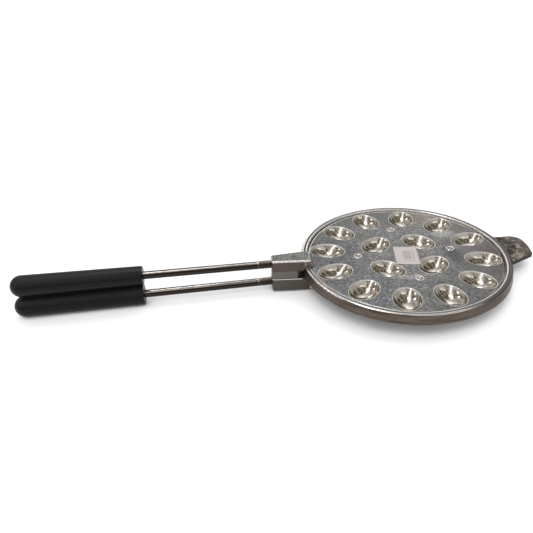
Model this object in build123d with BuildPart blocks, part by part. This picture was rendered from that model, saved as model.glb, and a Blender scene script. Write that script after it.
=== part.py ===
"""Walnut cookie pan: two hinged cast halves with sixteen nut moulds, on steel rods with push-on grips.

All lengths are in millimetres. The pan lies closed with its handles towards -X and its hinge towards +X.
Z is up, and the origin is under the middle of the closed pan, at the height of its lowest point.
"""

import os
from math import cos, hypot, radians, sin, sqrt

from build123d import *

# Pan half: the rim that shows all round, and the floor that carries the nut moulds
rim_radius = 118.3
rim_draft = 2.2
rim_height = 11.5
rim_width = 6.5
floor_thickness = 4.5
rim_edge_round = 1.5
foot_round = 1.2

# Lid half: a flat plate that drops into the rim
plate_drop = 1.9
plate_gap = 1.2
seat_gap = 0.2
plate_edge_round = 1.5

# Nut moulds: a hollow in the pan, a core under the lid, and a dimple behind each core
outer_nuts = 12
outer_nut_radius = 88.3
inner_nuts = 4
inner_nut_radius = 37.0
nut_length = 41.0
nut_width = 33.0
nut_wall = 3.5
dough_gap = 3.0
dimple_length = 40.0
dimple_width = 30.0
dimple_depth = 8.6
dimple_edge_round = 0.5

# Four ejector marks on the lid, each a raised ring with a pip, on a circle a little off the lid's middle
mark_count = 4
mark_circle_radius = 55.0
mark_circle_x = 2.0
mark_circle_y = 4.6
mark_ring_radius = 4.2
mark_wall = 0.9
mark_pip_radius = 1.1

# Handle arms, with their lengths measured from the rim and their heights from the top of the rim
arm_length = 36.1
arm_corner_round = 2.2
lid_arm_width_end = 16.0
lid_arm_width_root = 22.0
lid_arm_edge_round = 1.4
lid_arm_top = 7.5
lid_arm_bottom = -5.5
lid_arm_foot = 3.2
lid_arm_slope = 3.4
lid_arm_crest_round = 1.5
lid_arm_foot_round = 2.0
pan_arm_width_end = 18.0
pan_arm_width_root = 24.0
pan_arm_edge_round = 0.8
pan_arm_top = -15.0
pan_arm_bottom = -30.6
pan_arm_inset = 21.5
pan_arm_slope = 14.0
pad_length = 29.5
notch_gap = 0.6

# Hinge: the lid's hook passes under a bridge in the rim, and its tongue lies in the opening of the tab
bridge_height = 3.0
hook_thickness = 3.1
hook_gap = 0.3
hook_toe = 3.6
hook_heel = 7.1
tongue_half_width = 14.5
tongue_offset = 1.5
tongue_shoulder = 8.0
tongue_length = 15.2
tongue_top = -4.4
tongue_gap = 0.7
turn_gap = 0.4
stop_gap = 0.1
opening_angle = 95.0

# Tab at the far end, skewed a little as it was cast
tab_top = -4.6
tab_thickness = 6.0
tab_length = 33.1
tab_far_side = 26.6
tab_far_round = 14.0
tab_tip_corner = 0.0
tab_tip_round = 20.0
tab_tip_slant = 2.9
tab_near_tip = -15.0
tab_near_round = 2.0
tab_near_side = -29.0
tab_root_round = 14.0
tab_blend_round = 3.0
tab_edge_round = 0.8

# Steel rods, screwed into the arms and covered by the grips
rod_diameter = 9.0
thread_diameter = 10.0
thread_in_arm = 26.0
thread_outside = 15.5
thread_gap = 0.05
hole_spare = 1.0
rod_tip_chamfer = 0.8
lid_rod_height = 0.5
lid_rod_tilt = 0.3
pan_rod_height = -22.2
pan_rod_tilt = 1.12

# Grips, pushed on from the free ends, with their starts measured along the rod from the end of the arm
lid_grip_start = 144.3
pan_grip_start = 146.0
grip_length = 145.0
lid_grip_mouth_radius = 11.0
pan_grip_mouth_radius = 12.3
grip_radius_end = 12.3
grip_solid_end = 12.0
grip_edge_round = 1.2
grip_gap = 0.05

# Points nearer to each other than this count as the same
near = 0.01

# Places that follow from the sizes above
rim_inner_radius = rim_radius - rim_width
plate_radius = rim_inner_radius - plate_gap
parting_z = floor_thickness - rim_height
lid_underside = parting_z + seat_gap
hinge_x = rim_radius - rim_width / 2
hinge_z = -bridge_height / 2
arm_reach = rim_radius + arm_length
tab_reach = rim_radius + tab_length
tongue_reach = rim_radius + tongue_length

# The hook turns round the farthest corner of the curved bridge
opening_half_width = tongue_offset + tongue_half_width + tongue_gap
bridge_corner = hinge_x - sqrt(rim_inner_radius**2 - opening_half_width**2)
hook_inner_radius = hypot(bridge_corner, hinge_z) + hook_gap
hook_outer_radius = hook_inner_radius + hook_thickness
hook_bottom = hinge_z - hook_outer_radius
turning_radius = hypot(hook_toe, hook_outer_radius) + turn_gap

# The disc's middle, at the top of the rim, as seen from the origin: the round grip ends reach farthest
lid_dome = lid_grip_start + grip_length - grip_radius_end
pan_dome = pan_grip_start + grip_length - grip_radius_end
dome_reach = max(lid_dome * cos(radians(lid_rod_tilt)), pan_dome * cos(radians(pan_rod_tilt)))
disc_x = (arm_reach + dome_reach + grip_radius_end - tab_reach) / 2
disc_z = -pan_rod_height + pan_dome * sin(radians(pan_rod_tilt)) + grip_radius_end
disc = Plane(origin=(disc_x, 0, disc_z))
side = Plane(origin=(disc_x, 0, disc_z), x_dir=(1, 0, 0), z_dir=(0, -1, 0))


def half_nut(length, width):
    """Lower half of a nut shape, turned about its long axis, which lies along X."""
    with BuildPart() as nut:
        with BuildSketch():
            with BuildLine():
                EllipticalCenterArc((0, 0), length / 2, width / 2, 180, arc_size=180)
                Line((length / 2, 0), (-length / 2, 0))
            make_face()
        revolve(axis=Axis.X, revolution_arc=180)
    return nut.part


def nut_places(height):
    """Outer nuts point at the middle of the disc, and inner nuts lie across that direction."""
    middle = disc.offset(height).location
    outer = PolarLocations(outer_nut_radius, outer_nuts, start_angle=180 / outer_nuts).locations
    inner = PolarLocations(inner_nut_radius, inner_nuts, start_angle=180 / inner_nuts).locations
    return [middle * place for place in outer] + [middle * place * Rotation(0, 0, 90) for place in inner]


def arm_body(profile, width_end, width_root, levels, edge_round):
    """An arm from its side profile, wider at the disc, with its edges at the given levels rounded."""
    end = width_end / 2
    root = width_root / 2
    with BuildPart() as arm:
        extrude(profile, amount=root, both=True)
        with BuildSketch(disc):
            Polygon(
                (-arm_reach, -end),
                (-rim_radius, -root),
                (0, -root),
                (0, root),
                (-rim_radius, root),
                (-arm_reach, end),
                align=None,
            )
        extrude(amount=2 * arm_reach, both=True, mode=Mode.INTERSECT)
        fillet(arm.edges().filter_by(Axis.Z).group_by(Axis.X)[0], arm_corner_round)
        for level in levels:
            outline = arm.edges().filter_by_position(Axis.Z, disc_z + level - near, disc_z + level + near)
            fillet(outline.sort_by(Axis.X)[:-1], edge_round)
    return arm.part


def tongue_outline(gap, z):
    """Plan of the hook and tongue, grown by the gap for the opening around it."""
    low = tongue_offset - tongue_half_width - gap
    high = tongue_offset + tongue_half_width + gap
    shoulder = tongue_reach - tongue_shoulder
    with BuildSketch(disc.offset(z)) as plan:
        with BuildLine():
            Line((shoulder, high), (0, high))
            Line((0, high), (0, low))
            Line((0, low), (shoulder, low))
            ThreePointArc((shoulder, low), (tongue_reach + gap, tongue_offset), (shoulder, high))
        make_face()
    return plan.sketch


def rod_plane(height, tilt):
    """Plane on the arm's end face, with its normal along the rod towards the grip."""
    angle = radians(tilt)
    end = (disc_x - arm_reach, 0, disc_z + height)
    return Plane(origin=end, x_dir=(0, 1, 0), z_dir=(-cos(angle), 0, -sin(angle)))


lid_rod_plane = rod_plane(lid_rod_height, lid_rod_tilt)
pan_rod_plane = rod_plane(pan_rod_height, pan_rod_tilt)

# Nut shapes: outside of the pan's bumps, their hollows, the lid's cores and the dimples behind them
bump = half_nut(nut_length + 2 * nut_wall, nut_width + 2 * nut_wall)
hollow = half_nut(nut_length, nut_width)
core = half_nut(nut_length - 2 * dough_gap, nut_width - 2 * dough_gap)
dimple_ball = ((dimple_width / 2) ** 2 + dimple_depth**2) / (2 * dimple_depth)
dimple = half_nut(2 * dimple_ball * dimple_length / dimple_width, 2 * dimple_ball)

# Arm of the pan half, which runs on under the rim as a rib between two nuts
pan_arm_root = pan_arm_inset - rim_radius
floor_middle = parting_z - floor_thickness / 2
with BuildSketch(side) as pan_arm_side:
    Polygon(
        (-arm_reach, pan_arm_bottom),
        (pan_arm_root - pan_arm_slope, pan_arm_bottom),
        (pan_arm_root, floor_middle),
        (-rim_radius, floor_middle),
        (-rim_radius - rim_draft, pan_arm_top),
        (-arm_reach, pan_arm_top),
        align=None,
    )
pan_arm = arm_body(
    pan_arm_side.sketch,
    pan_arm_width_end,
    pan_arm_width_root,
    levels=(pan_arm_bottom, pan_arm_top),
    edge_round=pan_arm_edge_round,
)

# Arm of the lid half, which bridges the rim and ends in a pad on the other arm
pad_x = -arm_reach + pad_length
pad_bottom = pan_arm_top + seat_gap
foot_x = -plate_radius + lid_arm_foot
foot_end_x = foot_x + 2 * lid_arm_foot_round
with BuildSketch(side) as lid_arm_side:
    Polygon(
        (-arm_reach, pad_bottom),
        (pad_x, pad_bottom),
        (pad_x, lid_arm_bottom),
        (foot_end_x, lid_arm_bottom),
        (foot_end_x, -plate_drop),
        (foot_x, -plate_drop),
        (foot_x - lid_arm_slope, lid_arm_top),
        (-arm_reach, lid_arm_top),
        align=None,
    )
    crest = lid_arm_side.vertices().group_by(Axis.Y)[-1].sort_by(Axis.X)[-1]
    fillet(crest, lid_arm_crest_round)
    foot = lid_arm_side.vertices().filter_by_position(Axis.X, foot_x - near, foot_x + near)
    fillet(foot, lid_arm_foot_round)
lid_arm = arm_body(
    lid_arm_side.sketch,
    lid_arm_width_end,
    lid_arm_width_root,
    levels=(lid_arm_top,),
    edge_round=lid_arm_edge_round,
)

# Tab with its root rounded into the rim
with BuildPart() as tab:
    with BuildSketch(disc.offset(tab_top - tab_thickness)) as tab_plan:
        Polygon(
            (0, tab_far_side),
            (tab_reach, tab_far_side),
            (tab_reach, tab_tip_corner),
            (tab_reach - tab_tip_slant, tab_near_tip),
            (rim_radius, tab_near_side),
            (0, tab_near_side),
            align=None,
        )
        corners = tab_plan.vertices().sort_by(Axis.X)[-3:].sort_by(Axis.Y)
        fillet(corners[2], tab_far_round)
        fillet(corners[1], tab_tip_round)
        fillet(corners[0], tab_near_round)
        Circle(rim_radius)
        root = tab_plan.vertices().filter_by(lambda v: abs(hypot(v.X, v.Y) - rim_radius) < near and v.X > 0)
        fillet(root.sort_by(Axis.Y)[-1], tab_root_round)
        Circle(rim_inner_radius + rim_width / 2, mode=Mode.SUBTRACT)
    extrude(amount=tab_thickness)
    fillet(tab.edges().filter_by(Axis.Z, reverse=True), tab_edge_round)

# Hollow round that leads from the wall of the rim down to the tab
blend_end = rim_radius + tab_blend_round
blend_top = tab_top + tab_blend_round
with BuildPart() as tab_blend:
    with BuildSketch(side):
        with BuildLine():
            RadiusArc((rim_radius, blend_top), (blend_end, tab_top), tab_blend_round)
            Line((blend_end, tab_top), (blend_end, tab_top - tab_blend_round))
            Line((blend_end, tab_top - tab_blend_round), (hinge_x, tab_top - tab_blend_round))
            Line((hinge_x, tab_top - tab_blend_round), (hinge_x, blend_top))
            Line((hinge_x, blend_top), (rim_radius, blend_top))
        make_face()
    revolve(axis=Axis(origin=disc.origin, direction=(0, 0, 1)))
    extrude(tab_plan.sketch, amount=2 * rim_height, both=True, mode=Mode.INTERSECT)

# Opening for the hook and tongue: room for the hook's turn, and a slope where the tongue stops
turn = radians(opening_angle)
stop_radius = hook_outer_radius + stop_gap
stop_x = hinge_x - stop_radius * sin(turn)
stop_z = hinge_z - stop_radius * cos(turn)
below_z = -rim_height - hole_spare
stop_foot_x = stop_x + (stop_z - below_z) * cos(turn) / sin(turn)
beyond_x = tongue_reach + 2 * tongue_gap
with BuildPart() as opening:
    with BuildSketch(side):
        with Locations((hinge_x, hinge_z)):
            Circle(turning_radius)
        Polygon(
            (stop_x, stop_z),
            (stop_foot_x, below_z),
            (beyond_x, below_z),
            (beyond_x, -bridge_height),
            (hinge_x, -bridge_height),
            align=None,
        )
        with Locations((hinge_x, -bridge_height)):
            above = 4 * turning_radius
            Rectangle(above, above, align=(Align.CENTER, Align.MIN), mode=Mode.SUBTRACT)
    extrude(amount=2 * tongue_half_width, both=True)
    extrude(tongue_outline(tongue_gap, 0), amount=2 * rim_height, both=True, mode=Mode.INTERSECT)

# Pan half
with BuildPart() as pan_half:
    with BuildSketch(side) as rim_section:
        with BuildLine():
            Polyline(
                (0, parting_z),
                (0, -rim_height),
                (rim_radius + rim_draft, -rim_height),
                (rim_radius, 0),
                (rim_inner_radius, 0),
                (rim_inner_radius, parting_z),
                close=True,
            )
        make_face()
        fillet(rim_section.vertices().group_by(Axis.Y)[-1], rim_edge_round)
        fillet(rim_section.vertices().group_by(Axis.Y)[0].sort_by(Axis.X)[-1], foot_round)
    revolve(axis=Axis(origin=disc.origin, direction=(0, 0, 1)))
    with Locations(*nut_places(parting_z)):
        add(bump)
    add(pan_arm)
    add(tab.part)
    add(tab_blend.part)
    with Locations(*nut_places(parting_z)):
        add(hollow, mode=Mode.SUBTRACT)
    add(opening.part, mode=Mode.SUBTRACT)
    with Locations((disc_x - rim_radius, 0, disc_z + lid_arm_bottom - seat_gap)):
        Box(
            4 * rim_width,
            lid_arm_width_root + 2 * notch_gap,
            rim_height,
            align=(Align.CENTER, Align.CENTER, Align.MIN),
            mode=Mode.SUBTRACT,
        )
    with BuildSketch(pan_rod_plane.offset(hole_spare)):
        Circle(thread_diameter / 2 + thread_gap)
    extrude(amount=-thread_in_arm - 2 * hole_spare, mode=Mode.SUBTRACT)

# Hook and tongue of the lid half
with BuildPart() as hook:
    with BuildSketch(side):
        Polygon(
            (hinge_x - 2 * hook_heel, tongue_top),
            (hinge_x - 2 * hook_heel, lid_underside),
            (hinge_x - hook_heel, lid_underside),
            (hinge_x - hook_toe, hook_bottom),
            (beyond_x, hook_bottom),
            (beyond_x, tongue_top),
            align=None,
        )
    extrude(amount=2 * tongue_half_width, both=True)
    extrude(tongue_outline(0, 0), amount=2 * rim_height, both=True, mode=Mode.INTERSECT)

# Lid half
mark_middle = disc.offset(-plate_drop).location * Pos(mark_circle_x, mark_circle_y)
mark_places = [mark_middle * place for place in PolarLocations(mark_circle_radius, mark_count).locations]
with BuildPart() as lid_half:
    with BuildSketch(disc.offset(lid_underside)):
        Circle(plate_radius)
    extrude(amount=-plate_drop - lid_underside)
    fillet(lid_half.edges().group_by(Axis.Z)[-1], plate_edge_round)
    with Locations(*nut_places(lid_underside)):
        add(core)
    add(lid_arm)
    add(hook.part)
    with Locations(*nut_places(dimple_ball - dimple_depth - plate_drop)):
        add(dimple, mode=Mode.SUBTRACT)
    plate_top = disc_z - plate_drop
    brims = lid_half.edges().filter_by(lambda edge: edge.is_closed and edge.length < 4 * dimple_length)
    fillet(brims.filter_by_position(Axis.Z, plate_top - near, plate_top + near), dimple_edge_round)
    with Locations(*mark_places):
        Torus(mark_ring_radius, mark_wall)
        Sphere(mark_pip_radius)
    with BuildSketch(side):
        with Locations((hinge_x, hinge_z)):
            Circle(hook_inner_radius)
    extrude(amount=opening_half_width, both=True, mode=Mode.SUBTRACT)
    with BuildSketch(lid_rod_plane.offset(hole_spare)):
        Circle(thread_diameter / 2 + thread_gap)
    extrude(amount=-thread_in_arm - 2 * hole_spare, mode=Mode.SUBTRACT)


def steel_rod(plane, grip_start):
    """Rod turned about its own axis, thicker where it is threaded."""
    rod_end = grip_start + grip_length - grip_solid_end - hole_spare
    axis_plane = Plane(origin=plane.origin, x_dir=plane.z_dir, z_dir=(0, 1, 0))
    with BuildPart() as rod:
        with BuildSketch(axis_plane):
            with BuildLine():
                Polyline(
                    (-thread_in_arm, 0),
                    (-thread_in_arm, thread_diameter / 2 - rod_tip_chamfer),
                    (-thread_in_arm + rod_tip_chamfer, thread_diameter / 2),
                    (thread_outside - rod_tip_chamfer, thread_diameter / 2),
                    (thread_outside, rod_diameter / 2),
                    (rod_end - rod_tip_chamfer, rod_diameter / 2),
                    (rod_end, rod_diameter / 2 - rod_tip_chamfer),
                    (rod_end, 0),
                    close=True,
                )
            make_face()
        revolve(axis=Axis(origin=plane.origin, direction=plane.z_dir))
    return rod.part


def push_on_grip(plane, grip_start, mouth_radius):
    """Sleeve with a round closed end and a bore for the rod."""
    axis_plane = Plane(origin=plane.origin, x_dir=plane.z_dir, z_dir=(0, 1, 0))
    grip_end = grip_start + grip_length
    dome_start = grip_end - grip_radius_end
    bore = rod_diameter / 2 + grip_gap
    bore_end = grip_end - grip_solid_end
    with BuildPart() as grip:
        with BuildSketch(axis_plane) as section:
            with BuildLine():
                Line((grip_start, bore), (grip_start, mouth_radius))
                Line((grip_start, mouth_radius), (dome_start, grip_radius_end))
                CenterArc((dome_start, 0), grip_radius_end, 0, 90)
                Polyline((grip_end, 0), (bore_end, 0), (bore_end, bore), (grip_start, bore))
            make_face()
            fillet(section.vertices().sort_by(Axis.X)[:2].sort_by(Axis.Y)[-1], grip_edge_round)
        revolve(axis=Axis(origin=plane.origin, direction=plane.z_dir))
    return grip.part


lid_rod = steel_rod(lid_rod_plane, lid_grip_start)
pan_rod = steel_rod(pan_rod_plane, pan_grip_start)
lid_grip = push_on_grip(lid_rod_plane, lid_grip_start, lid_grip_mouth_radius)
pan_grip = push_on_grip(pan_rod_plane, pan_grip_start, pan_grip_mouth_radius)

# Names and files
os.makedirs("parts", exist_ok=True)
pan_half.part.label = "pan_half"
lid_half.part.label = "lid_half"
pan_rod.label = "pan_rod"
lid_rod.label = "lid_rod"
pan_grip.label = "pan_grip"
lid_grip.label = "lid_grip"
for piece in (pan_half.part, lid_half.part, pan_rod, lid_rod, pan_grip, lid_grip):
    export_step(piece, f"parts/{piece.label}.step")
print(f"disc middle at x {disc_x:.3f}, z {disc_z:.3f}")
print(f"hinge axis at x {disc_x + hinge_x:.3f}, z {disc_z + hinge_z:.3f}")
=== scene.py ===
"""Walnut cookie pan: looks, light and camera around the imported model, in metres.

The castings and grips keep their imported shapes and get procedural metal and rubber. The rods are
drawn again with their rolled threads, and a paper label with a faint generic print lies on the lid.
Materials measure in millimetres from the middle of the disc, at the height of the rim's top.
"""

from math import atan2, ceil, cos, pi, radians, sin

import bpy
from mathutils import Matrix, Vector, noise


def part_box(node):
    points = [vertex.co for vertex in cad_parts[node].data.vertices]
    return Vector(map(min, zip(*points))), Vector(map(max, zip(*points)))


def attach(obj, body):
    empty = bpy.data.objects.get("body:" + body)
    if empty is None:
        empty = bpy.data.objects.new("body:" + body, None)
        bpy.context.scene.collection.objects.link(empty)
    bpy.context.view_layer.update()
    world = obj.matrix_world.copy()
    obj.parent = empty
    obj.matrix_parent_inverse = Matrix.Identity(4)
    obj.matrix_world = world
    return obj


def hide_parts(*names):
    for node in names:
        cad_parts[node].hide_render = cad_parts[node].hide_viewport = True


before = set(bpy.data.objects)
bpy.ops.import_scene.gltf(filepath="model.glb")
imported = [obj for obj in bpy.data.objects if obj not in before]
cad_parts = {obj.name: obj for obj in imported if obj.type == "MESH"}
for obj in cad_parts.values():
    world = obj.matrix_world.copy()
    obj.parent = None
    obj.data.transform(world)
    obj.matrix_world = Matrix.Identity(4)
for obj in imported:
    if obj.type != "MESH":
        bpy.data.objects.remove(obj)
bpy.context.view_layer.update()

MM = 0.001
WHITE = (1, 1, 1)

# Sizes of the pan in millimetres, from the middle of the disc and the top of the rim
ARM_REACH = 154.4
ARM_TOP = 7.5
RIM_RADIUS = 118.3
RIM_INNER_RADIUS = 111.8
PLATE_TOP = -1.9
PLATE_RADIUS = 110.6
PAD_TOP = -5.5
PAN_ARM_TOP = -11.2
LID_ARM_START = -104.0
LID_ARM_BESIDE_PLATE = -112.0
MARKS_RADIUS = 80.0
TONGUE_END = (108.0, 8.0)

# Opening behind the pad where dark shade is painted, in millimetres: where it starts, is full, fades
# and ends along the arm and upwards, and where it ends and is full to the sides
NOOK_ALONG = (-126.5, -125.0, -117.0, -115.5)
NOOK_UP = (-15.6, -15.3, -5.2, -4.4)
NOOK_SIDES = (15.0, 12.0)

# Dimples in millimetres and counts: circles of their middles, and half lengths of their outlines
OUTER_DIMPLES = 12
OUTER_CIRCLE = 88.3
INNER_DIMPLES = 4
INNER_CIRCLE = 37.0
DIMPLE_HALF_LENGTH = 20.0
DIMPLE_HALF_WIDTH = 15.0

# Rods in millimetres: places of their axes on the arms' ends, tilts in degrees, and lengths from
# the arms' ends
ROD_RADIUS = 4.5
THREAD_RADIUS = 5.0
THREAD_DEPTH = 0.92
THREAD_PITCH = 1.5
THREAD_END = 15.5
ROD_START = -26.0
ROD_CHAMFER = 0.8
RODS = {
    "lid_rod": {"body": "lid", "height": 0.5, "tilt": 0.3, "end": 276.3},
    "pan_rod": {"body": "pan", "height": -22.2, "tilt": 1.12, "end": 278.0},
}

# Mesh of the rods: sides round them, rows in a turn of the thread and on the smooth length, and the
# least share of the thread's depth at its first row
ROD_SIDES = 64
THREAD_ROWS_PER_TURN = 12
SMOOTH_ROWS = 60
THREAD_LEAST = 0.2

# What the closed pan rests on: the end of the lower grip and the two bumps beside the hinge
GRIP_REST = Vector((-433.05, 0, -39.948))
BUMP_REST = Vector((85.3, 0, -27.0))

# Paper label in millimetres: middle on the plate, size, turn in degrees, thickness, gap under it,
# how far its corners curl up, the share of that at the two flatter ones, its waves, and the columns
# and rows of its mesh
LABEL_PLACE = (2.4, -2.6)
LABEL_SIZE = (26.8, 39.0)
LABEL_TURN = -9.5
LABEL_THICKNESS = 0.14
LABEL_GAP = 0.02
LABEL_CURL = 0.9
LABEL_FLATTER = 0.4
LABEL_WAVE = 0.10
LABEL_WAVES_PER_MM = 0.13
LABEL_COLUMNS = 14
LABEL_ROWS = 20

# Print on the label in millimetres from its middle: left, right, low and high
PRINT_BLOCK = (-3.5, 5.0, -7.0, 10.0)
PRINT_STRIP = (7.0, 8.6, -11.0, 13.0)
PRINT_LINE = (-4.0, 5.5, -12.5, -11.0)
PRINT_SOFT_SIDE = 0.4
PRINT_SOFT_END = 0.6

# Colours are linear. A pair runs from its first, where a mask is 0, to its second, where it is 1.
# Those named as a grain, flakes, shade or tint darken or brighten another colour
PLATE = ((0.112, 0.114, 0.120), (0.226, 0.226, 0.225))
PLATE_FLAKES = ((0.62, 0.63, 0.64), (1.18, 1.18, 1.17))
PLATE_GRAIN = ((0.70, 0.70, 0.70), (1.22, 1.22, 1.22))
PLATE_SATIN_SHADE = (0.92, 0.91, 0.90)
PLATE_SPECK = (0.68, 0.67, 0.66)
PLATE_SCRATCH = (0.62, 0.61, 0.60)
DIMPLE = ((0.48, 0.455, 0.415), (0.64, 0.615, 0.58))
# Painted highlights on the plate's border, the marks and the dimples' brims
LID_PAINTED_HIGHLIGHT = (0.93, 0.91, 0.89)
LID_ARM_FACE = ((0.14, 0.145, 0.14), (0.33, 0.34, 0.33))
LID_ARM_FACE_TINT = ((0.8, 0.8, 0.84), (1.1, 1.1, 1.04))
# Sides of the lid's arm: a painted reflection, darker above the pad as painted shade, and painted light at
# the root
LID_ARM_SIDE_PAINTED_REFLECTION = ((0.130, 0.119, 0.111), (0.088, 0.070, 0.066))
LID_ARM_GRAIN = ((0.88, 0.88, 0.86), (1.1, 1.1, 1.1))
LID_ARM_ROOT_PAINTED_LIGHT = ((0.20, 0.16, 0.13), (0.62, 0.55, 0.48))
# Painted highlights on the lid arm's edges
LID_ARM_PAINTED_HIGHLIGHT = (0.93, 0.90, 0.89)
# Painted shade in the opening behind the pad
NOOK_PAINTED_SHADE = (0.040, 0.036, 0.031)
TAB = ((0.095, 0.078, 0.066), (0.25, 0.215, 0.185))
TAB_RUBBED = (0.50, 0.465, 0.41)
# Dark blotches, and painted shade round the tongue's end
TAB_BLOTCH_AND_SHADE = (0.026, 0.027, 0.021)
# Painted shade on the tab's sides
TAB_SIDE_PAINTED_SHADE = (0.42, 0.40, 0.38)
# Walls: a dark warm painted reflection, with painted shade at the right in front
WALL_PAINTED_REFLECTION = ((0.045, 0.033, 0.027), (0.165, 0.135, 0.115))
WALL_GRAIN = ((0.85, 0.85, 0.85), (1.12, 1.12, 1.12))
WALL_PAINTED_SHADE = (0.50, 0.46, 0.44)
RIM = ((0.12, 0.125, 0.14), (0.26, 0.265, 0.28))
RIM_BROWN_GRAIN = ((0.62, 0.53, 0.49), (1.10, 0.98, 0.92))
RIM_TICK = (0.5, 0.5, 0.5)
# Painted shade in the groove on the far side of the rim
RIM_GROOVE_PAINTED_SHADE = (0.42, 0.42, 0.43)
# Painted highlights along the rim's edges
RIM_PAINTED_HIGHLIGHT = (0.92, 0.90, 0.88)
# Sides of the pan's arm: a dark painted reflection
PAN_ARM_SIDE_PAINTED_REFLECTION = ((0.072, 0.066, 0.058), (0.11, 0.103, 0.092))
PAN_ARM_FACE = (0.22, 0.215, 0.205)
# Painted highlights on the pan arm's edges
PAN_ARM_PAINTED_HIGHLIGHT = (0.95, 0.93, 0.90)
HOLLOWS = ((0.50, 0.50, 0.49), (0.78, 0.78, 0.77))
UNDERSIDE = ((0.17, 0.163, 0.155), (0.33, 0.32, 0.305))
UNDERSIDE_GRAIN = ((0.75, 0.75, 0.75), (1.1, 1.1, 1.1))
STEEL = ((0.82, 0.80, 0.78), (0.94, 0.93, 0.91))
STEEL_GRAIN = ((0.85, 0.85, 0.85), (1.05, 1.05, 1.05))
# Painted dimming of the rods towards the arms
STEEL_PAINTED_DIMMING = (0.36, 0.345, 0.33)
STEEL_THREAD = (0.92, 0.85, 0.79)
# Painted shade on the rods' lower part and far top edge
STEEL_PAINTED_SHADE = (0.035, 0.028, 0.024)
GRIP_SIDE = (0.001, 0.001, 0.001)
# Painted sheen: the top of a grip is paler than its sides
GRIP_TOP_PAINTED_SHEEN = ((0.011, 0.011, 0.0118), (0.016, 0.016, 0.017))
PAPER = ((0.42, 0.38, 0.355), (0.50, 0.455, 0.43))
INK = (0.20, 0.175, 0.16)
FLOOR = (0.75, 0.75, 0.75)

# Soft tints on the plate that paint patches of reflection and a band of shade: middle and half
# lengths of each oval in millimetres, and its tint
PLATE_PAINTED_REFLECTIONS = (
    (0, 92, 110, 44, (0.86, 0.86, 0.88)),
    (60, 84, 42, 32, (1.62, 1.38, 1.25)),
    (101, -20, 26, 42, (0.84, 0.74, 0.68)),
    (57, -8, 15, 34, (0.56, 0.57, 0.59)),
    (62, 41, 20, 15, (2.1, 2.06, 2.0)),
    (-4, -46, 26, 9, (1.75, 1.74, 1.72)),
    (62, 8, 13, 10, (1.5, 1.48, 1.44)),
    (-60, -62, 60, 50, (0.90, 0.94, 1.00)),
    (-80, 20, 50, 60, (0.85, 0.86, 0.88)),
)

# The room that the metal shows: its two tones, the streaks that darken or brighten them, and its
# pale fields and window
ROOM = ((0.24, 0.235, 0.165), (0.28, 0.215, 0.17))
ROOM_STREAKS = ((0.09, 0.08, 0.075), (2.2, 2.2, 2.3))
HORIZON = (0.55, 0.53, 0.50)
FRONT_FIELD = (0.80, 0.79, 0.78)
END_FIELDS = (0.70, 0.69, 0.68)
FAR_ARC = (1.45, 1.41, 1.37)
FAR_FIELD = (0.70, 0.68, 0.65)
WINDOW_GLOW = (0.95, 0.92, 0.88)
WINDOW = (2.6, 2.55, 2.5)

# Round lamps in that room: direction, inner and outer radius of the edge in degrees, and colour
ROOM_LAMPS = (
    ((0.30, 0.81, 0.50), 10, 24, (0.98, 0.97, 0.96)),
    ((0.30, 0.81, 0.50), 3, 9, (1.7, 1.68, 1.66)),
    ((-0.08, 0.29, 0.95), 6, 9, (6.0, 5.9, 5.8)),
    ((0.20, -0.50, 0.84), 6, 20, (0.75, 0.72, 0.68)),
    ((-0.50, 0.56, 0.66), 4, 7, (3.0, 2.9, 2.8)),
    ((-0.75, 0.20, 0.60), 3, 6, (2.5, 2.4, 2.3)),
)

# Suns: name, azimuth and elevation in degrees, strength, and width in degrees
SUNS = (
    ("key", -120, 62, 0.8, 30),
    ("fill", 60, 60, 0.3, 40),
)
FLOOR_SIDE = 14

# The disc's middle at the height of the rim's top, from the lid half's box
lid_low, lid_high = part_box("lid_half")
disc = Vector((lid_low.x + ARM_REACH * MM, 0, lid_high.z - ARM_TOP * MM))

# Camera, fitted to the photograph: place from the disc's middle in millimetres, angles in degrees
CAMERA_PLACE = Vector((-208.8, -549.4, 347.2))
CAMERA_AZIMUTH = -5.08
CAMERA_ELEVATION = 32.36
CAMERA_ROLL = -2.11
CAMERA_FOCAL = 573.8
PHOTO_SIDE = 533
SENSOR = 36.0
CLIP_END = 20

# Sockets of the mix node by number, because those for numbers and for colours share their names
MIX_FACTOR = 0
MIX_FIRST_NUMBER = 2
MIX_SECOND_NUMBER = 3
MIX_FIRST_COLOR = 6
MIX_SECOND_COLOR = 7
MIX_NUMBER = 0
MIX_COLOR = 2


def make_camera():
    azimuth = radians(CAMERA_AZIMUTH)
    elevation = radians(CAMERA_ELEVATION)
    roll = radians(CAMERA_ROLL)
    back = Vector((sin(azimuth) * cos(elevation), -cos(azimuth) * cos(elevation), sin(elevation)))
    level = Vector((cos(azimuth), sin(azimuth), 0))
    up = back.cross(level)
    right = level * cos(roll) + up * sin(roll)
    turned_up = up * cos(roll) - level * sin(roll)
    data = bpy.data.cameras.new("camera")
    data.sensor_width = SENSOR
    data.lens = CAMERA_FOCAL / PHOTO_SIDE * SENSOR
    data.clip_end = CLIP_END
    camera = bpy.data.objects.new("camera", data)
    bpy.context.scene.collection.objects.link(camera)
    turn = Matrix((right, turned_up, back)).transposed().to_4x4()
    camera.matrix_world = Matrix.Translation(disc + CAMERA_PLACE * MM) @ turn
    bpy.context.scene.camera = camera


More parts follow.
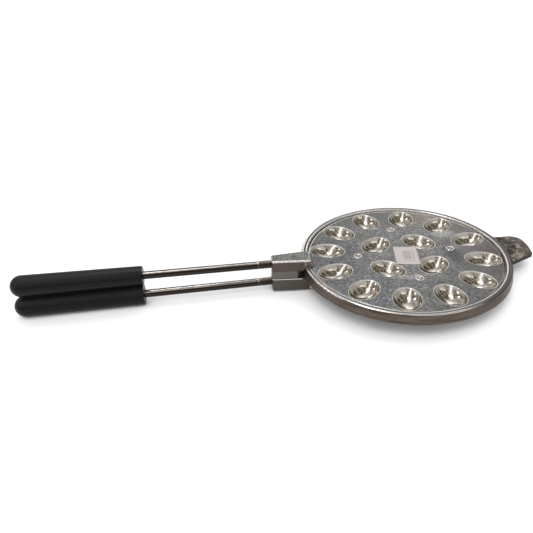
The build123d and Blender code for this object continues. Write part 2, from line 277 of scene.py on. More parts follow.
class Graph:
    """Short calls for the nodes of one material or world."""

    def __init__(self, tree):
        self.tree = tree

    def node(self, kind, **settings):
        made = self.tree.nodes.new(kind)
        for name, value in settings.items():
            setattr(made, name, value)
        return made

    def put(self, socket, value):
        """Links the socket to another, or writes a plain value on it."""
        if isinstance(value, bpy.types.NodeSocket):
            self.tree.links.new(value, socket)
        elif socket.type == "RGBA":
            socket.default_value = (*value, 1)
        else:
            socket.default_value = value

    def math(self, operation, first, second=0.0, clamp=False):
        made = self.node("ShaderNodeMath", operation=operation, use_clamp=clamp)
        self.put(made.inputs[0], first)
        self.put(made.inputs[1], second)
        return made.outputs[0]

    def chain(self, operation, values):
        """One operation on the first two values, then on that result and the third, and so on."""
        total = values[0]
        for value in values[1:]:
            total = self.math(operation, total, value)
        return total

    def times(self, *factors):
        return self.chain("MULTIPLY", factors)

    def plus(self, *terms):
        return self.chain("ADD", terms)

    def most(self, *values):
        return self.chain("MAXIMUM", values)

    def minus(self, first, second):
        return self.math("SUBTRACT", first, second)

    def over(self, first, second):
        return self.math("DIVIDE", first, second)

    def invert(self, value):
        return self.minus(1.0, value)

    def length(self, first, second):
        """Length of the long side over two sides at right angles."""
        return self.math("SQRT", self.plus(self.math("POWER", first, 2.0), self.math("POWER", second, 2.0)))

    def vector(self, operation, first, second):
        made = self.node("ShaderNodeVectorMath", operation=operation)
        self.put(made.inputs[0], first)
        self.put(made.inputs[1], second)
        return made.outputs

    def split(self, vector):
        made = self.node("ShaderNodeSeparateXYZ")
        self.put(made.inputs[0], vector)
        return made.outputs

    def join(self, x, y, z):
        made = self.node("ShaderNodeCombineXYZ")
        for socket, value in zip(made.inputs, (x, y, z)):
            self.put(socket, value)
        return made.outputs[0]

    def rise(self, value, low, high):
        """0 below low, 1 above high and smooth between them; it falls where low is above high."""
        made = self.node("ShaderNodeMapRange", interpolation_type="SMOOTHSTEP")
        self.put(made.inputs["Value"], value)
        made.inputs["From Min"].default_value = min(low, high)
        made.inputs["From Max"].default_value = max(low, high)
        made.inputs["To Min"].default_value = 0 if low < high else 1
        made.inputs["To Max"].default_value = 1 if low < high else 0
        return made.outputs["Result"]

    def plateau(self, value, start, full, fading, end):
        """1 from full to fading, 0 before start and after end, and smooth between them."""
        return self.times(self.rise(value, start, full), self.rise(value, end, fading))

    def sector(self, angle, start, full, fading, end):
        """A plateau over an angle, with its four ends in degrees."""
        return self.plateau(angle, radians(start), radians(full), radians(fading), radians(end))

    def scale(self, value, low, high):
        """Takes 0 to 1 to low to high."""
        made = self.node("ShaderNodeMapRange")
        self.put(made.inputs["Value"], value)
        made.inputs["To Min"].default_value = low
        made.inputs["To Max"].default_value = high
        return made.outputs["Result"]

    def mix(self, factor, first, second, **settings):
        """Mixes two colours."""
        made = self.node("ShaderNodeMix", data_type="RGBA", **settings)
        self.put(made.inputs[MIX_FACTOR], factor)
        self.put(made.inputs[MIX_FIRST_COLOR], first)
        self.put(made.inputs[MIX_SECOND_COLOR], second)
        return made.outputs[MIX_COLOR]

    def tint(self, color, factor):
        """Multiplies a colour by another, which darkens or brightens it."""
        return self.mix(1, color, factor, blend_type="MULTIPLY")

    def blend(self, factor, first, second):
        """Mixes two numbers."""
        made = self.node("ShaderNodeMix", data_type="FLOAT")
        self.put(made.inputs[MIX_FACTOR], factor)
        self.put(made.inputs[MIX_FIRST_NUMBER], first)
        self.put(made.inputs[MIX_SECOND_NUMBER], second)
        return made.outputs[MIX_NUMBER]

    def noise(self, at, size, detail=2.0, roughness=0.5, distortion=0.0):
        """Noise with patches about as large as size."""
        made = self.node("ShaderNodeTexNoise")
        self.put(made.inputs["Vector"], at)
        made.inputs["Scale"].default_value = 1 / size
        made.inputs["Detail"].default_value = detail
        made.inputs["Roughness"].default_value = roughness
        made.inputs["Distortion"].default_value = distortion
        return made.outputs["Fac"]


class Finish(Graph):
    """A material that measures in millimetres from the disc's middle and knows the surface's facing.

    x, y and z are the place, and radius and angle the same round the disc. up is 1 on a level face,
    0 on an upright one and -1 below, and facing_y is 1 on a face towards the far side.
    """

    def __init__(self, name):
        self.material = bpy.data.materials.new(name)
        self.material.use_nodes = True
        super().__init__(self.material.node_tree)
        self.shader = self.tree.nodes["Principled BSDF"]
        coords = self.node("ShaderNodeTexCoord")
        metres = self.vector("SUBTRACT", coords.outputs["Object"], tuple(disc))[0]
        self.at = self.vector("SCALE", metres, (0, 0, 0))[0]
        self.at.node.inputs["Scale"].default_value = 1 / MM
        self.x, self.y, self.z = self.split(self.at)
        self.radius = self.length(self.x, self.y)
        self.angle = self.math("ARCTAN2", self.y, self.x)
        self.facing_y, self.up = self.split(coords.outputs["Normal"])[1:]

    def spot(self, x, y, wide, deep):
        """1 in the middle of an oval patch on the disc, and 0 outside it."""
        across = self.over(self.minus(self.x, x), wide)
        along = self.over(self.minus(self.y, y), deep)
        return self.rise(self.length(across, along), 1.0, 0.2)

    def dimple_distance(self, count, circle, half_along, half_across):
        """Distance from the nearest dimple of a circle of them: 1 on its outline."""
        step = 2 * pi / count
        folded = self.math("PINGPONG", self.plus(self.angle, 2 * pi), step / 2)
        offset = self.minus(folded, step / 2)
        along = self.minus(self.times(self.radius, self.math("COSINE", offset)), circle)
        across = self.times(self.radius, self.math("SINE", offset))
        return self.length(self.over(along, half_along), self.over(across, half_across))

    def nook(self):
        """1 in the opening behind the pad, between the arms and the rim, where dark shade is painted."""
        long = self.plateau(self.x, *NOOK_ALONG)
        high = self.plateau(self.z, *NOOK_UP)
        return self.times(long, high, self.rise(self.math("ABSOLUTE", self.y), *NOOK_SIDES))

    def around(self, radial, angular):
        """Place for marks that run round the disc: sizes across the rim and in radians along it."""
        across = self.over(self.radius, radial)
        along = self.over(self.angle, angular)
        return self.join(across, along, self.over(self.z, radial))

    def shade(self, **values):
        """Sets inputs of the shader by their names."""
        for name, value in values.items():
            self.put(self.shader.inputs[name.replace("_", " ")], value)

    def bump(self, height, distance, strength=1.0):
        made = self.node("ShaderNodeBump")
        self.put(made.inputs["Height"], height)
        self.put(made.inputs["Strength"], strength)
        made.inputs["Distance"].default_value = distance * MM
        self.put(self.shader.inputs["Normal"], made.outputs["Normal"])


def tab_color(look, flakes):
    """Brown cast metal with pale rubbed patches, and dark blotches that gather round the end of the tongue
    as painted shade.
    """
    tab_blotches = look.noise(look.at, 6.0, 4, 0.7, 1.2)
    patches = look.noise(look.vector("ADD", look.at, (40.0, 15.0, 0.0))[0], 7.0, 4, 0.65, 1.0)
    arc = look.length(look.minus(look.x, TONGUE_END[0]), look.minus(look.y, TONGUE_END[1]))
    ring = look.plateau(arc, 8.0, 14.0, 24.0, 32.0)
    # Dark blotches all over, and painted shade in a ring round the tongue's end
    dark = look.times(look.rise(tab_blotches, 0.42, 0.52), look.scale(ring, 0.15, 1.0))
    color = look.mix(look.rise(flakes, 0.35, 0.65), *TAB)
    color = look.mix(look.rise(patches, 0.52, 0.60), color, TAB_RUBBED)
    return look.mix(dark, color, TAB_BLOTCH_AND_SHADE)


def plate_color(look, flakes, grain, clouds):
    """Satin plate, grained in its near and left part, with fine slanting scratches and soft tints that
    paint patches of reflection and shade.
    """
    plain = look.mix(clouds, *PLATE)
    specks = look.noise(look.at, 2.2, 2, 0.6, 1.5)
    grained = look.tint(plain, look.mix(look.rise(flakes, 0.38, 0.62), *PLATE_FLAKES))
    grained = look.tint(grained, look.mix(look.rise(grain, 0.38, 0.62), *PLATE_GRAIN))
    grained = look.mix(look.times(look.rise(specks, 0.58, 0.66), 0.6), grained, PLATE_SPECK)
    satin = look.most(look.rise(look.x, 40.0, 80.0), look.rise(look.y, 65.0, 95.0))
    color = look.mix(look.times(satin, 0.65), grained, look.tint(plain, PLATE_SATIN_SHADE))
    lanes = look.plus(look.y, look.times(look.x, 0.30))
    drawn = look.noise(look.join(look.times(look.x, 0.05), lanes, 0.0), 0.9, 2, 0.6)
    color = look.mix(look.times(look.rise(drawn, 0.66, 0.74), 0.45), color, PLATE_SCRATCH)
    # The ovals paint brighter and darker patches of reflection and shade
    for x, y, wide, deep, tint in PLATE_PAINTED_REFLECTIONS:
        color = look.mix(look.spot(x, y, wide, deep), color, look.tint(color, tint))
    return color


def lid_arm_color(look, flakes, grain, clouds, painted_highlight):
    """Rough pale face; brown sides as a painted reflection, with painted shade above the pad and painted
    light at the root; painted highlights on the edges.
    """
    face = look.mix(look.rise(flakes, 0.35, 0.65), *LID_ARM_FACE)
    face = look.tint(face, look.mix(clouds, *LID_ARM_FACE_TINT))
    # Painted reflection on the sides, darker above the pad as painted shade
    side = look.mix(look.rise(look.z, PAD_TOP - 0.4, PAD_TOP), *LID_ARM_SIDE_PAINTED_REFLECTION)
    side = look.tint(side, look.mix(grain, *LID_ARM_GRAIN))
    # Painted light on the side at the root, where the arm leaves the plate
    corner = look.mix(look.rise(grain, 0.4, 0.6), *LID_ARM_ROOT_PAINTED_LIGHT)
    side = look.mix(look.rise(look.x, -119.5, -116.5), side, corner)
    # Painted shade in the opening behind the pad
    side = look.mix(look.nook(), side, NOOK_PAINTED_SHADE)
    color = look.mix(look.rise(look.up, 0.5, 0.8), side, face)
    return look.mix(painted_highlight, color, LID_ARM_PAINTED_HIGHLIGHT)


def lid_arm_highlight_mask(look):
    """1 on the rounded edges of the arm and on a strip along the near edge of its face, where highlights
    are painted.
    """
    edges = look.plateau(look.up, 0.12, 0.30, 0.95, 0.985)
    from_edge = look.plus(look.y, look.times(look.x, 0.083), 20.8)
    return look.most(edges, look.times(look.rise(from_edge, 2.5, 2.1), look.rise(look.up, 0.5, 0.8)))


def plate_highlight_mask(look):
    """1 on the plate's border, which is faint in front on the left, and on the marks, where highlights are
    painted.
    """
    reach = look.plus(look.radius, look.times(look.rise(look.y, 0.0, 70.0), 0.5))
    border = look.times(
        look.rise(reach, PLATE_RADIUS - 1.7, PLATE_RADIUS - 1.3),
        look.rise(look.up, 0.05, 0.2),
        look.rise(look.radius, PLATE_RADIUS + 0.6, PLATE_RADIUS + 0.3),
    )
    behind = look.most(look.rise(look.y, -40.0, 0.0), look.rise(look.x, 50.0, 85.0))
    mark = look.times(
        look.rise(look.z, PLATE_TOP + 0.02, PLATE_TOP + 0.12),
        look.rise(look.radius, MARKS_RADIUS, MARKS_RADIUS - 1.0),
    )
    return look.most(look.times(border, look.scale(behind, 0.35, 1.0)), mark)


def lid_metal():
    """Satin plate with cast grain, mirror dimples with a painted highlight on their brims, and a rough arm
    with painted highlights on its edges.
    """
    look = Finish("lid_cast_aluminium")
    grain = look.noise(look.at, 1.5, 2, 0.6)
    flakes = look.noise(look.at, 3.2, 4, 0.7, 0.8)
    clouds = look.noise(look.at, 22.0, 3, 0.55, 0.8)
    outer = look.dimple_distance(OUTER_DIMPLES, OUTER_CIRCLE, DIMPLE_HALF_LENGTH, DIMPLE_HALF_WIDTH)
    inner = look.dimple_distance(INNER_DIMPLES, INNER_CIRCLE, DIMPLE_HALF_WIDTH, DIMPLE_HALF_LENGTH)
    nearest = look.math("MINIMUM", outer, inner)
    inside = look.rise(look.radius, PLATE_RADIUS - 1.0, PLATE_RADIUS - 2.0)
    dimple = look.times(look.rise(nearest, 1.0, 0.98), inside)
    brim = look.times(look.plateau(nearest, 0.97, 0.99, 1.02, 1.05), inside)
    calm = look.times(look.rise(nearest, 1.0, 0.90), inside)
    raised = look.rise(look.z, PLATE_TOP + 1.2, PLATE_TOP + 1.5)
    beside = look.rise(look.x, LID_ARM_BESIDE_PLATE, LID_ARM_BESIDE_PLATE - 2.0)
    arm = look.times(look.most(raised, beside), look.rise(look.x, LID_ARM_START, LID_ARM_START - 1.0))
    arm_painted_highlight = lid_arm_highlight_mask(look)
    arm_color = lid_arm_color(look, flakes, grain, clouds, arm_painted_highlight)
    body = look.mix(arm, plate_color(look, flakes, grain, clouds), arm_color)
    beyond_plate = look.rise(look.x, RIM_INNER_RADIUS, RIM_INNER_RADIUS + 2.0)
    body = look.mix(beyond_plate, body, tab_color(look, flakes))
    body = look.mix(dimple, body, look.mix(clouds, *DIMPLE))
    painted_highlight = look.times(plate_highlight_mask(look), look.invert(arm))
    smooth = look.most(dimple, painted_highlight, look.times(arm, arm_painted_highlight))
    # Painted highlights on the plate's border, the marks, the dimples' brims and the arm's edges
    look.shade(
        Base_Color=look.mix(look.most(painted_highlight, look.times(brim, 0.75)), body, LID_PAINTED_HIGHLIGHT),
        Metallic=1.0,
        Roughness=look.blend(smooth, look.scale(flakes, 0.20, 0.40), look.blend(dimple, 0.16, 0.07)),
    )
    dents = look.times(look.noise(look.at, 7.0, 2), 1.6)
    look.bump(look.blend(calm, look.plus(flakes, look.times(grain, 0.6)), dents), 0.14, 0.6)
    return look.material


def wall_color(look, grain):
    """Cast wall with streaks round it, dark and warm as a painted reflection, with painted shade at the
    right in front.
    """
    streaks = look.noise(look.around(0.8, 0.25), 1.0, 3, 0.65)
    color = look.mix(look.rise(streaks, 0.25, 0.75), *WALL_PAINTED_REFLECTION)
    color = look.tint(color, look.mix(grain, *WALL_GRAIN))
    shady = look.sector(look.angle, -72, -48, 5, 25)
    return look.mix(shady, color, look.tint(color, WALL_PAINTED_SHADE))


def rim_color(look, grain, lines):
    """Brushed metal that turns brown to the right, with a short row of ticks at the left in front."""
    color = look.mix(look.rise(lines, 0.3, 0.7), *RIM)
    brown = look.tint(color, look.mix(look.rise(grain, 0.35, 0.65), *RIM_BROWN_GRAIN))
    color = look.mix(look.rise(look.x, 10.0, 70.0), color, brown)
    row = look.sector(look.angle, -155.5, -155.0, -151.0, -150.5)
    ticks = look.times(row, look.rise(look.math("SINE", look.times(look.angle, 480.0)), -0.2, 0.4))
    return look.mix(ticks, color, RIM_TICK)


def rim_highlight_mask(look, rim, far, lines):
    """1 on the rounded edges of the rim and on lines along its outer and inner edge, where highlights are
    painted.
    """
    edges = look.times(look.rise(look.z, -1.7, -1.4), look.plateau(look.up, 0.55, 0.72, 0.94, 0.97))
    near = look.sector(look.angle, -178, -168, -80, -62)
    right = look.sector(look.angle, -80, -60, 75, 100)
    outside = look.rise(look.radius, RIM_RADIUS - 4.0, RIM_RADIUS - 2.5)
    edges = look.times(edges, look.invert(look.times(outside, right, 0.9)))
    outer = look.times(near, look.rise(look.radius, RIM_RADIUS - 2.0, RIM_RADIUS - 1.7))
    far_outer = look.times(far, look.rise(look.radius, RIM_RADIUS - 2.6, RIM_RADIUS - 2.3))
    growing = look.rise(look.angle, radians(75), radians(115))
    far_outer = look.times(far_outer, look.scale(growing, 0.35, 0.8))
    inner = look.rise(look.radius, RIM_INNER_RADIUS + 1.9, RIM_INNER_RADIUS + 1.6)
    inner = look.times(inner, look.scale(right, 1.0, 0.72))
    # Lines along the rim's edges where highlights are painted
    rubbed = look.times(look.most(outer, far_outer, inner), rim)
    return look.most(edges, look.times(rubbed, look.rise(lines, 0.25, 0.45)))


def pan_metal():
    """Brushed rim with painted highlights on its edges, cast walls with streaks in a dark warm painted
    reflection, a rough tab with dark blotches and painted shade, and a dull underside.
    """
    look = Finish("pan_cast_aluminium")
    grain = look.noise(look.at, 1.6, 3, 0.6)
    flakes = look.noise(look.at, 4.0, 4, 0.7, 0.8)
    lines = look.noise(look.around(0.7, 0.6), 1.0, 2, 0.6)
    rim = look.times(look.rise(look.up, 0.9, 0.97), look.rise(look.z, -0.9, -0.6))
    color = look.mix(rim, wall_color(look, grain), rim_color(look, grain, lines))

    arm = look.times(
        look.rise(look.x, -RIM_RADIUS + 6.0, -RIM_RADIUS + 1.0),
        look.rise(look.z, PAN_ARM_TOP, PAN_ARM_TOP - 0.6),
    )
    # The arm's sides are a dark painted reflection, and its face is paler
    arm_color = look.mix(look.rise(look.up, 0.7, 0.9), look.mix(flakes, *PAN_ARM_SIDE_PAINTED_REFLECTION), PAN_ARM_FACE)
    color = look.mix(arm, color, arm_color)
    # Painted shade in the opening behind the pad
    color = look.mix(look.nook(), color, NOOK_PAINTED_SHADE)
    # Painted highlights on the arm's rounded edges
    arm_painted_highlight = look.times(arm, look.plateau(look.up, 0.04, 0.18, 0.95, 0.985))
    color = look.mix(arm_painted_highlight, color, PAN_ARM_PAINTED_HIGHLIGHT)

    inside = look.times(
        look.rise(look.radius, RIM_INNER_RADIUS + 0.8, RIM_INNER_RADIUS + 0.4),
        look.rise(look.up, -0.1, 0.0),
        look.invert(arm),
    )
    color = look.mix(inside, color, look.mix(look.rise(flakes, 0.3, 0.7), *HOLLOWS))

    beyond_rim = look.rise(look.x, RIM_RADIUS - 6.0, RIM_RADIUS - 2.0)
    tab = look.times(beyond_rim, look.rise(look.z, -1.4, -1.7), look.rise(look.up, 0.3, 0.6))
    color = look.mix(tab, color, tab_color(look, flakes))
    # Painted shade on the tab's sides
    tab_side = look.times(beyond_rim, look.rise(look.up, 0.4, 0.2))
    color = look.mix(tab_side, color, look.tint(color, TAB_SIDE_PAINTED_SHADE))

    under_color = look.mix(look.noise(look.at, 14.0, 4, 0.6, 0.5), *UNDERSIDE)
    under_color = look.tint(under_color, look.mix(grain, *UNDERSIDE_GRAIN))
    color = look.mix(look.rise(look.up, -0.25, -0.5), color, under_color)

    far = look.rise(look.angle, radians(35), radians(55))
    # Painted shade in the groove on the far side of the rim
    groove = look.plateau(look.radius, *(RIM_RADIUS - inward for inward in (4.6, 4.3, 2.9, 2.6)))
    color = look.mix(look.times(far, groove, rim), color, look.tint(color, RIM_GROOVE_PAINTED_SHADE))
    rim_painted_highlight = rim_highlight_mask(look, rim, far, lines)
    painted_highlight = look.most(rim_painted_highlight, arm_painted_highlight)
    # Painted highlights on the rim's edges
    look.shade(
        Base_Color=look.mix(rim_painted_highlight, color, RIM_PAINTED_HIGHLIGHT),
        Metallic=1.0,
        Roughness=look.blend(painted_highlight, look.scale(flakes, 0.28, 0.48), 0.16),
    )
    rough = look.plus(flakes, look.times(grain, 0.5))
    look.bump(look.blend(rim, rough, lines), 0.14, 0.7)
    return look.material


def rod_steel():
    """Bright drawn steel, warmer on the thread, with painted dimming towards the arms and painted shade
    below and beyond.
    """
    look = Finish("drawn_steel")
    draw = look.noise(look.join(look.times(look.x, 0.06), look.y, look.z), 0.7, 3, 0.6)
    patches = look.noise(look.at, 8.0, 3, 0.6)
    thread = look.rise(look.x, -ARM_REACH - THREAD_END - 0.6, -ARM_REACH - THREAD_END)
    # Painted dimming of the steel towards the arms
    dull = look.rise(look.x, -235.0, -205.0)
    color = look.mix(look.rise(patches, 0.35, 0.65), *STEEL)
    color = look.tint(color, look.mix(draw, *STEEL_GRAIN))
    color = look.mix(look.times(dull, 0.75), color, STEEL_PAINTED_DIMMING)
    color = look.mix(thread, color, STEEL_THREAD)

    # Painted shade: the lower part and the far top edge of each rod are darker, less on the thread and on
    # the back
    lower_rod = look.rise(look.z, -10.0, -14.0)
    toward_far = look.minus(look.facing_y, look.times(lower_rod, 0.13))
    upward = look.plus(look.up, look.times(lower_rod, 0.07))
    beyond = look.rise(toward_far, -0.46, -0.32)
    beyond = look.times(beyond, look.scale(dull, 0.90, 0.62), look.invert(thread))
    behind = look.rise(look.facing_y, 0.2, 0.7)
    dark = look.most(look.rise(upward, 0.80, 0.66), beyond)
    dark = look.times(dark, look.scale(thread, 1.0, 0.93), look.scale(behind, 1.0, 0.45))
    look.shade(
        Base_Color=look.mix(dark, color, STEEL_PAINTED_SHADE),
        Metallic=1.0,
        Roughness=look.blend(thread, look.scale(draw, 0.17, 0.25), 0.40),
    )
    look.bump(look.plus(draw, patches), 0.05, 0.5)
    return look.material


def grip_rubber():
    """Black sleeve with a painted sheen, a little paler on top, and a faint moulded grain."""
    look = Finish("black_sleeve")
    grain = look.noise(look.at, 0.9, 3, 0.6)
    stretched_noise = look.noise(look.join(look.times(look.x, 0.25), look.y, look.z), 6.0, 3, 0.6)
    # Painted sheen: the top is paler than the sides
    look.shade(
        Base_Color=look.mix(look.rise(look.up, 0.15, 0.85), GRIP_SIDE, look.mix(stretched_noise, *GRIP_TOP_PAINTED_SHEEN)),
        Roughness=look.scale(stretched_noise, 0.28, 0.40),
        Specular_IOR_Level=0.18,
    )
    look.bump(grain, 0.05, 0.5)
    return look.material


def label_paper():
    """Off-white paper with faint generic print: a block of bars, a strip and a line, no letters."""
    look = Finish("label_paper")
    turn = radians(-LABEL_TURN)
    x = look.minus(look.x, LABEL_PLACE[0])
    y = look.minus(look.y, LABEL_PLACE[1])
    u = look.minus(look.times(x, cos(turn)), look.times(y, sin(turn)))
    v = look.plus(look.times(x, sin(turn)), look.times(y, cos(turn)))

    def block(left, right, low, high):
        across = look.plateau(u, left - PRINT_SOFT_SIDE, left, right, right + PRINT_SOFT_SIDE)
        return look.times(across, look.plateau(v, low - PRINT_SOFT_END, low, high, high + PRINT_SOFT_END))

    fibres = look.noise(look.at, 1.2, 3, 0.6)
    bars = look.plus(look.times(look.math("SINE", look.times(v, 2.6)), 0.25), 0.45)
    barred = look.times(block(*PRINT_BLOCK), bars)
    strip = look.times(block(*PRINT_STRIP), 0.35)
    line = look.times(block(*PRINT_LINE), 0.30)
    ink = look.math("ADD", look.plus(barred, strip), line, clamp=True)
    look.shade(Base_Color=look.mix(ink, look.mix(fibres, *PAPER), INK), Roughness=0.6)
    look.bump(fibres, 0.03, 0.4)
    return look.material


def mesh_piece(name, body, verts, faces, material):
    mesh = bpy.data.meshes.new(name)
    mesh.from_pydata(verts, [], faces)
    mesh.validate()
    for polygon in mesh.polygons:
        polygon.use_smooth = True
    mesh.materials.append(material)
    piece = bpy.data.objects.new(name, mesh)
    bpy.context.scene.collection.objects.link(piece)
    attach(piece, body)
    return piece


def thread_radius(place, turn):
    """Radius of the threaded length at a place along the rod and a share of a turn round it."""
    phase = (place / THREAD_PITCH - turn) % 1
    ridge = 1 - abs(2 * phase - 1)
    leaving = max(0, (THREAD_END - place) / THREAD_PITCH)
    entering = max(THREAD_LEAST, (place - ROD_START) / THREAD_PITCH)
    fade = min(1, leaving, entering)
    return ROD_RADIUS + (THREAD_RADIUS - ROD_RADIUS - THREAD_DEPTH * (1 - ridge)) * fade


def threaded_rod(node, material):
    """The rod with its thread as a helical groove, from inside the arm to inside the grip."""
    rod = RODS[node]
    tilt = radians(rod["tilt"])
    along = Vector((-cos(tilt), 0, -sin(tilt)))
    across = Vector((0, 1, 0))
    above = across.cross(along) * -1
    start = disc + Vector((-ARM_REACH, 0, rod["height"])) * MM
    end = rod["end"] - ROD_CHAMFER
    threaded = THREAD_END - ROD_START
    thread_rows = ceil(threaded / THREAD_PITCH * THREAD_ROWS_PER_TURN)
    places = [ROD_START + threaded * row / thread_rows for row in range(thread_rows + 1)]
    places += [THREAD_END + (end - THREAD_END) * row / SMOOTH_ROWS for row in range(1, SMOOTH_ROWS + 1)]
    verts = []

    def add_vertex(place, radius, turn):
        angle = 2 * pi * turn
        out = across * cos(angle) + above * sin(angle)
        verts.append(start + (along * place + out * radius) * MM)

    for place in places:
        for side in range(ROD_SIDES):
            turn = side / ROD_SIDES
            radius = thread_radius(place, turn) if place <= THREAD_END else ROD_RADIUS
            add_vertex(place, radius, turn)
    for side in range(ROD_SIDES):
        add_vertex(end + ROD_CHAMFER, ROD_RADIUS - ROD_CHAMFER, side / ROD_SIDES)
    rows = len(places) + 1
    faces = []
    for row in range(rows - 1):
        first = row * ROD_SIDES
        second = first + ROD_SIDES
        for side in range(ROD_SIDES):
            beside = (side + 1) % ROD_SIDES
            faces.append((first + side, first + beside, second + beside, second + side))
    faces.append(tuple(reversed(range(ROD_SIDES))))
    faces.append(tuple(range((rows - 1) * ROD_SIDES, rows * ROD_SIDES)))
    piece = mesh_piece(f"{node}_threaded", rod["body"], verts, faces, material)
    for polygon in piece.data.polygons[-2:]:
        polygon.use_smooth = False
    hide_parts(node)


def paper_label(material):
    """Thin sheet that lies on the plate and curls up a little at its corners."""
    wide, deep = LABEL_SIZE
    turn = radians(LABEL_TURN)
    top = []
    for row in range(LABEL_ROWS + 1):
        for column in range(LABEL_COLUMNS + 1):
            u = (column / LABEL_COLUMNS - 0.5) * wide
            v = (row / LABEL_ROWS - 0.5) * deep
            corner = (abs(u) / wide * 2) ** 3 * (abs(v) / deep * 2) ** 3
            share = 1.0 if u * v > 0 else LABEL_FLATTER
            place = Vector((u * LABEL_WAVES_PER_MM, v * LABEL_WAVES_PER_MM, 0))
            wave = LABEL_WAVE * (1 + noise.noise(place))
            lift = LABEL_GAP + wave + LABEL_CURL * corner * share
            x = LABEL_PLACE[0] + u * cos(turn) - v * sin(turn)
            y = LABEL_PLACE[1] + u * sin(turn) + v * cos(turn)
            top.append(Vector((x, y, PLATE_TOP + lift + LABEL_THICKNESS)))
    below = [place - Vector((0, 0, LABEL_THICKNESS)) for place in top]
    verts = [disc + place * MM for place in top + below]
    count = len(top)
    across = LABEL_COLUMNS + 1
    faces = []
    for row in range(LABEL_ROWS):
        for column in range(LABEL_COLUMNS):
            a = row * across + column
            faces.append((a, a + 1, a + across + 1, a + across))
            faces.append((count + a, count + a + across, count + a + across + 1, count + a + 1))
    border = list(range(across)) + [across * row + LABEL_COLUMNS for row in range(1, LABEL_ROWS + 1)]
    border += [across * LABEL_ROWS + column for column in range(LABEL_COLUMNS - 1, -1, -1)]
    border += [across * row for row in range(LABEL_ROWS - 1, 0, -1)]
    for a, b in zip(border, border[1:] + border[:1]):
        faces.append((b, a, count + a, count + b))
    mesh_piece("blank_label", "lid", verts, faces, material)


def dress(node, material):
    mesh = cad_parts[node].data
    mesh.materials.clear()
    mesh.materials.append(material)


def make_floor():
    """Pale floor under what the pan rests on, white to the camera and in the metal."""
    run = BUMP_REST - GRIP_REST
    slope = atan2(run.z, run.x)
    bpy.ops.mesh.primitive_plane_add(size=FLOOR_SIDE)
    floor = bpy.context.object
    floor.name = "floor"
    floor.matrix_world = Matrix.Translation(disc + GRIP_REST * MM) @ Matrix.Rotation(-slope, 4, "Y")
    material = bpy.data.materials.new("floor")
    material.use_nodes = True
    graph = Graph(material.node_tree)
    path = graph.node("ShaderNodeLightPath")
    seen = graph.most(path.outputs["Is Camera Ray"], path.outputs["Is Glossy Ray"])
    shader = material.node_tree.nodes["Principled BSDF"]
    graph.put(shader.inputs["Base Color"], graph.mix(seen, FLOOR, WHITE))
    shader.inputs["Roughness"].default_value = 1
    shader.inputs["Specular IOR Level"].default_value = 0
    floor.data.materials.append(material)


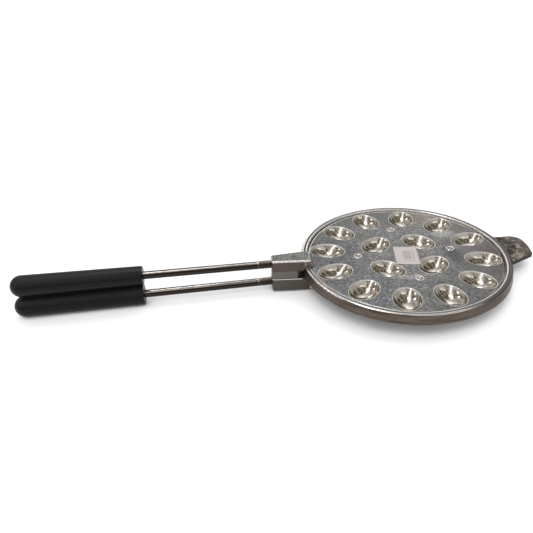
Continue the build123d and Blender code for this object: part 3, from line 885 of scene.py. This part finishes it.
def room_color(graph, toward):
    """The room that the metal shows: brown with streaks, with pale fields at the horizon, in front,
    at both ends and beyond the pan, a slanting window over the handles, and small lamps.

    toward is the direction looked in: x along the pan, y to its far side and z up. turn goes round
    the long axis, from 0 at the far horizon to 90 degrees overhead, and wavers a little.
    """
    x, y, z = graph.split(toward)
    waver = graph.minus(graph.noise(toward, 0.35, 3, 0.6, 1.0), 0.5)
    turn = graph.plus(graph.math("ARCTAN2", z, y), graph.times(waver, 0.6))
    bands = graph.join(graph.times(x, 2.4), graph.times(turn, 0.9), 0.0)
    streaks = graph.rise(graph.noise(bands, 0.62, 3, 0.6, 1.6), 0.38, 0.62)
    tones = graph.rise(graph.noise(toward, 0.5, 2, 0.5), 0.4, 0.6)
    room = graph.tint(graph.mix(tones, *ROOM), graph.mix(streaks, *ROOM_STREAKS))

    horizon = graph.times(graph.rise(z, 0.26, 0.12), graph.rise(x, 0.42, 0.60))
    room = graph.mix(horizon, room, HORIZON)
    front = graph.times(graph.plateau(z, 0.10, 0.25, 0.62, 0.80), graph.rise(y, 0.0, -0.35))
    room = graph.mix(graph.times(front, 0.85), room, FRONT_FIELD)
    ends = graph.most(graph.rise(x, -0.60, -0.85), graph.times(graph.rise(x, 0.78, 0.92), 0.5))
    ends = graph.times(ends, graph.plateau(z, 0.10, 0.22, 0.60, 0.75))
    room = graph.mix(graph.times(ends, 0.8), room, END_FIELDS)
    arc = graph.times(graph.sector(turn, 100, 105, 113, 119), graph.plateau(x, 0.0, 0.12, 0.55, 0.72))
    room = graph.mix(arc, room, FAR_ARC)
    beyond = graph.times(graph.plateau(x, -0.48, -0.40, 0.06, 0.16), graph.sector(turn, 10, 18, 52, 64))
    room = graph.mix(graph.times(beyond, graph.scale(streaks, 0.5, 0.9)), room, FAR_FIELD)

    slant = graph.plus(x, graph.times(graph.minus(turn, 1.27), 0.55), 0.12)
    aside = graph.math("ABSOLUTE", slant)
    window = graph.sector(turn, 44, 60, 130, 150)
    room = graph.mix(graph.times(window, graph.rise(aside, 0.30, 0.12), 0.8), room, WINDOW_GLOW)
    room = graph.mix(graph.times(window, graph.rise(aside, 0.075, 0.04)), room, WINDOW)
    for place, inner, outer, color in ROOM_LAMPS:
        facing = graph.vector("DOT_PRODUCT", toward, Vector(place).normalized())["Value"]
        lamp = graph.rise(graph.math("ARCCOSINE", facing), radians(outer), radians(inner))
        room = graph.mix(lamp, room, color)
    return room


def make_world():
    """A plain white world, and a room in its place in what the metal shows."""
    world = bpy.data.worlds.new("studio")
    bpy.context.scene.world = world
    world.use_nodes = True
    graph = Graph(world.node_tree)
    coords = graph.node("ShaderNodeTexCoord")
    path = graph.node("ShaderNodeLightPath")
    room = room_color(graph, coords.outputs["Generated"])
    sky = graph.mix(path.outputs["Is Glossy Ray"], WHITE, room)
    graph.put(world.node_tree.nodes["Background"].inputs["Color"], sky)


def make_sun(name, azimuth, elevation, strength, angle):
    """A soft lamp for the paper, the grips and the floor. The metal shows the world alone."""
    data = bpy.data.lights.new(name, "SUN")
    data.energy = strength
    data.angle = radians(angle)
    lamp = bpy.data.objects.new(name, data)
    bpy.context.scene.collection.objects.link(lamp)
    flat = cos(radians(elevation))
    place = Vector((cos(radians(azimuth)) * flat, sin(radians(azimuth)) * flat, sin(radians(elevation))))
    lamp.rotation_euler = place.to_track_quat("Z", "Y").to_euler()
    lamp.visible_glossy = False


make_camera()
steel = rod_steel()
rubber = grip_rubber()
dress("pan_half", pan_metal())
dress("lid_half", lid_metal())
dress("pan_grip", rubber)
dress("lid_grip", rubber)
for node in RODS:
    threaded_rod(node, steel)
paper_label(label_paper())
make_floor()
make_world()
for sun in SUNS:
    make_sun(*sun)
bpy.context.scene.view_settings.view_transform = "Standard"
